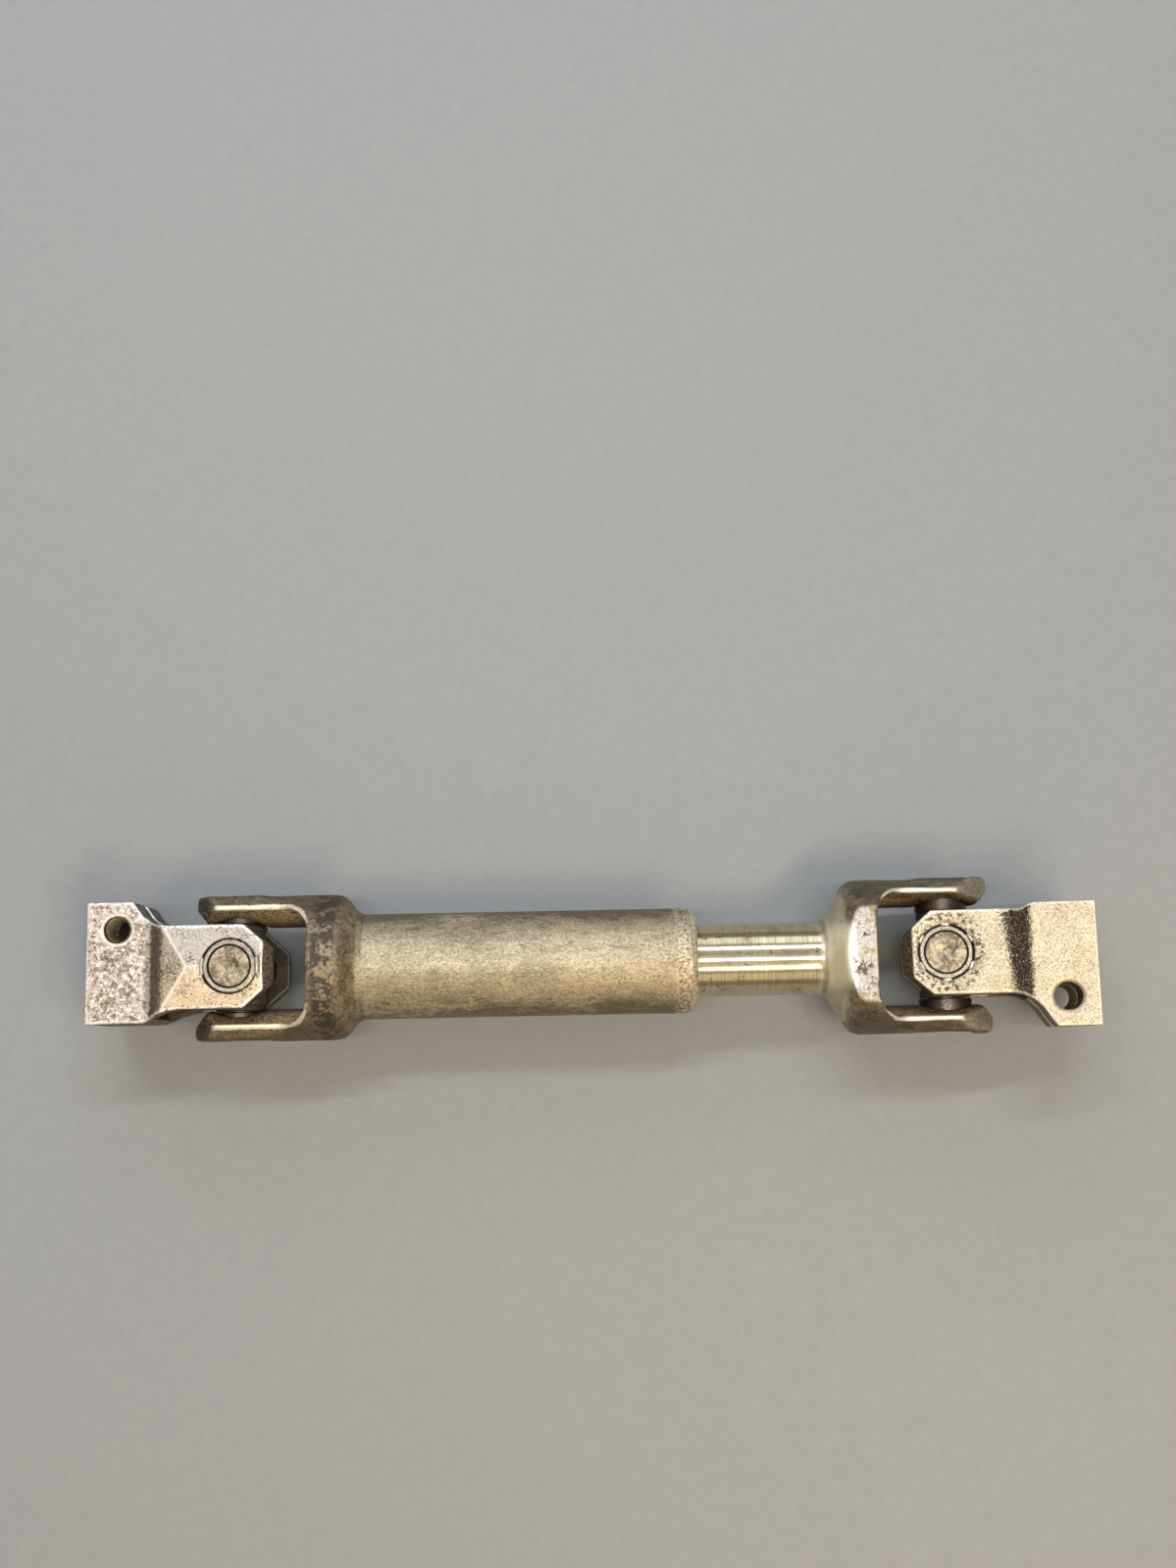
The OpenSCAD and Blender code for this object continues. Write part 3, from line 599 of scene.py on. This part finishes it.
def build_shaft():
    """The inner shaft with its flare, milled flats and ears; X runs from the cross along the shaft."""
    me = remeshed("inner_shaft_yoke", "shaft", SHAFT_VOXEL)
    soften(me, 3)
    round_outside(me, 19.2)
    co = coords(me)
    snap_round(co, 40, 78.2, SHAFT_RADIUS, 0.35)
    set_coords(me, co)
    nrm = normals(me)
    rho = np.hypot(co[:, 1], co[:, 2])
    level = np.abs(nrm[:, 2]) > 0.985
    flat = (level & (np.abs(np.abs(co[:, 2]) - 18.9) < 0.35) & (co[:, 0] > 20)).astype(float)
    e = edges_of(me)
    flat = neighbours(e, flat, len(flat))
    skin = 1 - smoothstep(30.5, 34, co[:, 0])
    lumps = 0.15 * noise(co, 9, 21, 2) + 0.06 * noise(co, 2.0, 22, 2)
    set_coords(me, co + nrm * ((lumps - 0.04) * skin * (1 - flat) * smoothstep(12, 15, rho))[:, None])
    outer_corner = smoothstep(19.5, 20.3, np.abs(co[:, 1])) * (co[:, 0] < 24)
    shoulder = smoothstep(16, 22, co[:, 0]) * smoothstep(19.5, 20.5, rho)
    worn(me, 0.74, (1 - 0.9 * shoulder) * (1 - 0.97 * outer_corner))
    # deep: painted shade, darker towards the middle of the fork
    attribute(me, "deep", 1 - smoothstep(0, 9, np.abs(co[:, 2])))
    off_middle = smoothstep(6, 12, np.abs(co[:, 1]))
    attribute(me, "forged", skin * (1 - (0.9 - 0.5 * off_middle) * smoothstep(27, 30.5, co[:, 0])))
    # flare: the flare, which gets a painted highlight in its colour and a rougher, less metallic surface
    flare = smoothstep(29, 31, co[:, 0]) * (1 - smoothstep(37, 40, co[:, 0]))
    attribute(me, "flare", flare * (1 - 0.85 * off_middle))
    attribute(me, "inner", yoke_inside(co, nrm, 18.6, 23))
    attribute(me, "flat", flat)
    # out: painted shade on the ears' outer faces
    attribute(me, "out", smoothstep(0.5, 0.85, np.abs(nrm[:, 1])) * (rho > 18))
    # tip: painted light on the end faces of the ear tips
    slanted = (co[:, 0] < -3) * smoothstep(0.2, 0.4, -nrm[:, 0])
    attribute(me, "tip", neighbours(e, slanted, len(slanted)))
    return finish_piece(me, "inner_shaft_forging", "shaft", "inner_shaft", MAT["shaft"],
                        ["inner_shaft_yoke"])

def build_clamp(side):
    """A clamp yoke, with its ears above and below; X runs from the cross out through the clamp."""
    left = side == "left"
    kind, node = side + "_clamp", side + "_clamp_yoke"
    me = remeshed(node, kind, CLAMP_VOXEL)
    soften(me, 3 if left else 2)
    co = coords(me)
    rho = np.hypot(co[:, 1], co[:, 2])
    # the serrations come back as their own ring, so their seat is opened to the groove radius
    seat = (co[:, 0] > 22) & (rho < SERRATION_SEAT) & (rho > 6)
    opened = SERRATION_SEAT - 0.15
    f = np.where(seat & (rho < opened), opened / np.maximum(rho, 0.1), 1)
    co[:, 1] *= f
    co[:, 2] *= f
    # the tapped hole is opened to the thread's root, and its ridge is a piece of its own
    hx, hy = HOLE[side]
    from_hole = np.hypot(co[:, 0] - hx, co[:, 1] - hy)
    tapped = (from_hole < HOLE_RADIUS) & ((co[:, 2] > 1) if left else (co[:, 2] < -1))
    f = np.where(tapped, HOLE_RADIUS / np.maximum(from_hole, 0.1), 1)
    co[:, 0] = hx + (co[:, 0] - hx) * f
    co[:, 1] = hy + (co[:, 1] - hy) * f
    set_coords(me, co)
    nrm = normals(me)
    clamp = smoothstep(21, 24.5, co[:, 0])
    outer = smoothstep(0.2, 0.6, np.abs(nrm[:, 2])) * (np.abs(co[:, 2]) > 13.2)
    pin = np.hypot(co[:, 0], co[:, 1])
    hole = np.hypot(co[:, 0] - hx, co[:, 1] - hy)
    away = smoothstep(8.6, 9.6, pin) * smoothstep(5.2, 6.2, hole) * (1 - seat)
    if left:
        rough = noise(co, 1.25, 31, 2) * 0.085 + noise(co, 4.5, 33, 2) * 0.07
        lumps = rough * clamp + (1 - clamp) * (0.035 * noise(co, 1.6, 34, 2) + 0.05 * noise(co, 7, 35, 1))
        lumps -= 0.05
    else:
        lumps = 0.02 * noise(co, 1.3, 36, 2) + 0.05 * noise(co, 9, 37, 1) - 0.02
    set_coords(me, co + nrm * (lumps * away)[:, None])
    worn(me, 0.85, smoothstep(8.7, 9.5, pin) * smoothstep(5.0, 5.6, hole))
    rim = hole - HOLE_RADIUS
    attribute(me, "ring", smoothstep(0.1, 0.3, rim) * (1 - smoothstep(0.8, 1.05, rim)) * (co[:, 2] > 12))
    # bevel: painted shade on the chamfers at the ear ends
    attribute(me, "bevel", smoothstep(0.45, 0.7, -nrm[:, 0]) * (co[:, 0] < -9) * (pin > 8.6))
    # painted shade across the bend from clamp to ear; the shader gives it noisy edges
    if left:
        bend_shade = smoothstep(17.8, 22.3, co[:, 0]) * (1 - smoothstep(23.2, 25.6, co[:, 0])) * outer
    else:
        line = co[:, 0] + 0.16 * co[:, 1]
        faces = (np.abs(co[:, 2]) > 13.2) * (np.abs(nrm[:, 1]) < 0.5)
        bend_shade = smoothstep(15.8, 19.6, line) * (1 - smoothstep(23.8, 26.4, co[:, 0])) * faces
    # inner: painted shade on the faces inside the fork, and in the serrations' seat
    inner = ((np.abs(co[:, 2]) < 13.05) & (pin < 28.1) & (np.abs(nrm[:, 1]) < 0.9)).astype(float)
    # low, mid and ridge paint light on the ear's facets: warm lower half, shaded middle facet, highlight along the
    # ridge
    slope = 0.12 * (co[:, 0] - 12.5) - 0.072 * np.abs(co[:, 1])
    on_ear = (np.abs(co[:, 2]) > 18) * (np.abs(nrm[:, 2]) > 0.9) * (pin > 8.7)
    attribute(me, "clamp", clamp)
    attribute(me, "low", smoothstep(-2.5, 2.5, co[:, 1]))
    attribute(me, "mid", smoothstep(0, 0.12, slope) * on_ear)
    spread = np.exp(-(slope / 0.05) ** 2) * (co[:, 0] > 12)
    spine = np.exp(-(co[:, 1] / 0.5) ** 2) * (co[:, 0] > 8.5) * (co[:, 0] < 13)
    attribute(me, "ridge", np.maximum(spread, 0.6 * spine) * on_ear * (1 - clamp))
    # side: painted shade on the clamp's upright faces
    attribute(me, "side", (np.abs(nrm[:, 2]) < 0.45) * (1 - seat) * (rho > 9.9))
    end = smoothstep(0.6, 0.9, nrm[:, 0]) * smoothstep(42.6, 43.2, co[:, 0])
    attribute(me, "end", end * (np.abs(co[:, 2]) > 9))
    # gap: painted shadow in the gap between the ear and its cup
    attribute(me, "gap", (1 - smoothstep(8.15, 8.5, pin)) * (np.abs(co[:, 2]) > 12))
    attribute(me, "bend_shade", np.clip(bend_shade, 0, 1))
    attribute(me, "inner", np.maximum(inner * 0.9, seat * 0.8))
    attribute(me, "cup", 1 - smoothstep(9, 14, pin))
    return finish_piece(me, side + "_clamp_forging", kind, side + "_clamp", MAT[side],
                        [node])

# ---------------------------------------------------------------- small real shapes that a remesh would lose
def loft(bm, rows):
    """Adds quads through rows of points, each row closed on itself, and returns the rows of vertices."""
    rings = [[bm.verts.new(p) for p in row] for row in rows]
    for a, b in zip(rings, rings[1:]):
        for j in range(len(a)):
            k = (j + 1) % len(a)
            bm.faces.new((a[j], a[k], b[k], b[j]))
    return rings

def clamp_piece(bm, side, name, material, smooth=True):
    """Turns a bmesh in the clamp's own frame into a piece that rides on that clamp."""
    bmesh.ops.recalc_face_normals(bm, faces=bm.faces)
    me = bpy.data.meshes.new(name)
    bm.to_mesh(me)
    bm.free()
    return finish_piece(me, name, side + "_clamp", side + "_clamp", material, smooth=smooth)

def serration_ring(side):
    """The serrated lining of a clamp bore, open at the slit."""
    end = 43.7 if side == "left" else 44.4
    teeth, steps, depth = 36, 8, 0.6
    count = teeth * steps
    gap = math.asin(1.4 / CLAMP_BORE)
    start, stop = -math.pi / 2 + gap, 3 * math.pi / 2 - gap     # angle from +Z towards +Y, the slit lies at -Y
    angles = [start + (stop - start) * i / count for i in range(count + 1)]
    rows = []
    for x, chamfer in ((26.6, 0.44), (27.0, 0), (end - 0.9, 0), (end - 0.25, 0.6)):
        row = []
        for a in angles:
            off_groove = abs((math.degrees(a) % 10) / 10 - 0.5) * 2
            r = CLAMP_BORE + depth * max(0, min(1, (0.75 - off_groove) / 0.5)) + chamfer
            row.append((x, r * math.sin(a), r * math.cos(a)))
        row += [(x, SERRATION_SEAT * math.sin(a), SERRATION_SEAT * math.cos(a)) for a in reversed(angles)]
        rows.append(row)
    bm = bmesh.new()
    rings = loft(bm, rows)
    for ring in (rings[0], rings[-1]):
        n = len(ring)
        for j in range(count):
            bm.faces.new((ring[j], ring[j + 1], ring[n - 2 - j], ring[n - 1 - j]))
    return clamp_piece(bm, side, side + "_serrations", MAT["bore"], smooth=False)

def stake_tabs(side):
    """Metal pushed over the rims of the cups by the punch, one small tab at each punch mark."""
    left = side == "left"
    angles = [0, 180] if left else [30 + 60 * i for i in range(6)]
    width = 5.8 if left else 3.2
    # the tab's section, as radius and height over the cross, and the point it shrinks to at both ends
    profile = [(8.7, 18.9), (8.75, 19.45), (8.35, 19.62), (7.9, 19.55), (7.62, 19.35), (7.55, 19.05), (7.9, 18.85)]
    root_r, root_z = 8.3, 19.0
    steps = 8
    half = width / 2 / CUP_RADIUS
    bm = bmesh.new()
    for up in (1, -1):
        for middle in angles:
            rows = []
            for i in range(steps + 1):
                t = i / steps * 2 - 1
                shrink = math.sqrt(max(0.0, 1 - abs(t) ** 4)) * 0.92 + 0.08
                a = math.radians(middle) + half * t
                section = [(root_r + (r - root_r) * shrink, root_z + (z - root_z) * shrink) for r, z in profile]
                rows.append([(r * math.cos(a), r * math.sin(a), up * z) for r, z in section])
            rings = loft(bm, rows)
            bm.faces.new(rings[0])
            bm.faces.new(rings[-1])
    return clamp_piece(bm, side, side + "_stake_tabs", MAT["tabs"])

def thread_ring(side):
    """The thread inside a tapped bolt hole, as turns of a real ridge."""
    hx, hy = HOLE[side]
    z0, z1 = (1.6, 13.9) if side == "left" else (-13.9, -1.6)
    pitch, around, along = 1.25, 40, 110
    crest, height = 3.42, 0.62
    rows = []
    for i in range(along + 1):
        z = z0 + (z1 - z0) * i / along
        row = []
        for j in range(around):
            a = 2 * math.pi * j / around
            phase = (z / pitch - j / around) % 1
            r = crest + height * (1 - abs(phase - 0.5) * 2)
            row.append((hx + r * math.cos(a), hy + r * math.sin(a), z))
        rows.append(row)
    bm = bmesh.new()
    loft(bm, rows)
    return clamp_piece(bm, side, side + "_bolt_thread", MAT["bore"])

# ---------------------------------------------------------------- build
MAT = {
    "left": forged_left(),
    "right": forged_right(),
    "tube": tube_steel(),
    "shaft": turned_steel(),
    "cup": cup_steel(),
    "bore": plain("machined_bore", (0.62, 0.58, 0.38), (0.40, 0.36, 0.25), size=2.5, metallic=0.9,
        rough=(0.3, 0.45), bump=0.3, distance=0.05, specks=(0.16, 0.12, 0.08)),
    "tabs": plain("staked_metal", (0.62, 0.58, 0.50), (0.40, 0.36, 0.29), size=1.4, metallic=0.9,
        rough=(0.36, 0.5), bump=0.4, distance=0.06, specks=(0.2, 0.17, 0.13)),
    "cross": plain("cross_steel", (0.30, 0.28, 0.25), (0.17, 0.155, 0.135), size=3, metallic=0.85,
        rough=(0.42, 0.6), bump=0.4, distance=0.08, specks=(0.09, 0.075, 0.06)),
    "needle": plain("needle_steel", (0.82, 0.82, 0.83), (0.74, 0.74, 0.75), size=2, metallic=1.0,
        rough=(0.12, 0.2), bump=0.1, distance=0.02),
    "pad": plain("thrust_nylon", (0.82, 0.79, 0.68), (0.75, 0.71, 0.60), size=3, metallic=0.0,
        rough=(0.4, 0.55), bump=0.2, distance=0.04),
    "nylon": plain("sliding_nylon", (0.78, 0.75, 0.66), (0.68, 0.64, 0.54), size=4, metallic=0.0,
        rough=(0.3, 0.5), bump=0.2, distance=0.04, specks=(0.35, 0.30, 0.22)),
    "plug": plain("plated_plug", (0.70, 0.66, 0.50), (0.58, 0.54, 0.42), size=3, metallic=0.9,
        rough=(0.3, 0.45), bump=0.3, distance=0.05, specks=(0.35, 0.28, 0.18)),
    "rubber": plain("black_rubber", (0.035, 0.034, 0.033), (0.055, 0.052, 0.048), size=2, metallic=0.0,
        rough=(0.5, 0.7), bump=0.3, distance=0.05, specks=(0.10, 0.09, 0.08)),
}

build_tube()
build_shaft()
for side in ("left", "right"):
    build_clamp(side)
    serration_ring(side)
    stake_tabs(side)
    thread_ring(side)

# ---------------------------------------------------------------- CAD nodes that stay
FINISHES = (
    ("cup", "cup"), ("needles", "needle"), ("pads", "pad"), ("seal", "rubber"),
    ("cross", "cross"), ("sleeve", "nylon"), ("plug", "plug"),
)

def finish_of(name):
    """The material of a CAD node by the first word that its name holds, or None for the yokes."""
    return next((MAT[mat] for key, mat in FINISHES if key in name), None)

def mark_cup(name, me):
    """Attributes for the cup's end disc, and painted shade on its sides under the ear's face and in the groove
    round the disc.
    """
    # the right shaft's cups lie on the Y axis that both right yokes share
    kind = "tube" if name.startswith("left_tube") else "left_clamp" if name.startswith("left") else "right_clamp"
    inv = np.array(frame_of(kind).inverted())
    local = (coords(me) * 1000) @ inv[:3, :3].T + inv[:3, 3]
    axis = 1 if ("far" in name or "near" in name) else 2
    r = np.hypot(*(local[:, k] for k in range(3) if k != axis))
    out = np.abs(local[:, axis])
    top = out > 18.2
    attribute(me, "disc", (r < 6.0) * top * 1.0)
    # under and groove: painted shade on the sides under the ear, in the groove round the disc and in the gap at
    # the rim
    attribute(me, "under", (out < 18.3) * 1.0)
    groove = ((r > 6.05) & (r < 6.45)) * top * 1.0
    attribute(me, "groove", np.maximum(groove, (r > CUP_RADIUS - 0.15) * (out > 17) * 0.8))

for name, ob in nodes.items():
    mat = finish_of(name)
    if mat is None:
        continue
    ob.data.materials.clear()
    ob.data.materials.append(mat)
    if "cup" in name:
        mark_cup(name, ob.data)

# ---------------------------------------------------------------- floor, light, camera, in metres
level = cad_box[0][2] - 0.0001
reach = 3.0     # half the floor's side, m
floor = bpy.data.meshes.new("floor")
corners = [(x * reach, y * reach, level) for x, y in ((-1, -1), (1, -1), (1, 1), (-1, 1))]
floor.from_pydata(corners, [], [(0, 1, 2, 3)])
floor_ob = bpy.data.objects.new("floor", floor)
scene.collection.objects.link(floor_ob)
look = Look("floor")
tone = look.mix(look.span(look.noise(3, 3, 0.6), 0.3, 0.7), (0.285, 0.30, 0.315), (0.30, 0.314, 0.326))
floor.materials.append(look.set(Base_Color=tone, Roughness=0.55, Specular_IOR_Level=0.3))

# the room is brighter overhead, warm on the near side and cool on the far side
world = bpy.data.worlds.new("studio")
scene.world = world
world.use_nodes = True
tree = world.node_tree
back = tree.nodes["Background"]
direction = tree.nodes.new("ShaderNodeSeparateXYZ")
tree.links.new(tree.nodes.new("ShaderNodeTexCoord").outputs["Generated"], direction.inputs[0])

def room_ramp(value, stops):
    """A colour ramp from 0 to 1 in the world's nodes; stops are places in order, each with its colour."""
    ramp = tree.nodes.new("ShaderNodeValToRGB")
    elements = ramp.color_ramp.elements
    for place, colour in stops:
        stop = elements[0] if place == 0 else elements[-1] if place == 1 else elements.new(place)
        stop.color = (*colour, 1)
    tree.links.new(value, ramp.inputs[0])
    return ramp.outputs[0]

height_stops = ((0, (0.20, 0.19, 0.17)), (0.45, (0.30, 0.30, 0.30)), (0.8, (0.52, 0.53, 0.55)),
                (1, (0.72, 0.73, 0.75)))
side_stops = ((0, (1.0, 0.80, 0.56)), (1, (0.60, 0.66, 0.72)))
across = tree.nodes.new("ShaderNodeMapRange")
across.inputs["From Min"].default_value = -0.9
across.inputs["From Max"].default_value = 0.9
tree.links.new(direction.outputs[1], across.inputs["Value"])
tint = tree.nodes.new("ShaderNodeMix")
tint.data_type = "RGBA"
tint.blend_type = "MULTIPLY"
tint.inputs["Factor"].default_value = 1.0
tree.links.new(room_ramp(direction.outputs[2], height_stops), tint.inputs[6])
tree.links.new(room_ramp(across.outputs[0], side_stops), tint.inputs[7])
tree.links.new(tint.outputs[2], back.inputs[0])
back.inputs[1].default_value = 0.92

def area(name, place, aim, size, power, colour):
    """A rectangular lamp at a place in metres, facing aim."""
    lamp = bpy.data.lights.new(name, "AREA")
    lamp.shape = "RECTANGLE"
    lamp.size, lamp.size_y = size
    lamp.energy = power
    lamp.color = colour
    ob = bpy.data.objects.new(name, lamp)
    ob.location = place
    ob.rotation_euler = (Vector(aim) - Vector(place)).to_track_quat("-Z", "Y").to_euler()
    scene.collection.objects.link(ob)

area("window", (-0.1, 0.66, 1.08), (0, 0, 0), (1.1, 0.045), 6.0, (0.95, 0.98, 1.0))
area("ceiling", (0.0, -0.08, 1.5), (0, 0, 0), (1.1, 0.04), 6.0, (1.0, 0.99, 0.96))
area("lamp", (0.45, -0.50, 1.15), (0.02, 0, 0), (0.8, 0.12), 7.5, (1.0, 0.78, 0.50))
area("warm_side", (0.15, -0.95, 0.55), (0, 0, 0), (1.2, 0.45), 1.3, (1.0, 0.78, 0.54))
area("cool_side", (-0.15, 0.95, 0.60), (0, 0, 0), (1.2, 0.45), 3.2, (0.88, 0.93, 1.0))

scene.view_settings.view_transform = "Standard"
scene.view_settings.look = "None"

cam = bpy.data.cameras.new("camera")
cam.sensor_fit = "HORIZONTAL"
cam.sensor_width = 36
cam.lens = 50.75
cam.clip_start = 0.01
cam_ob = bpy.data.objects.new("camera", cam)
cam_ob.location = (-0.00387, -0.02697, 0.51078)
cam_ob.rotation_euler = Euler([math.radians(a) for a in (9.170, -0.209, -1.134)], "XYZ")
scene.collection.objects.link(cam_ob)
scene.camera = cam_ob
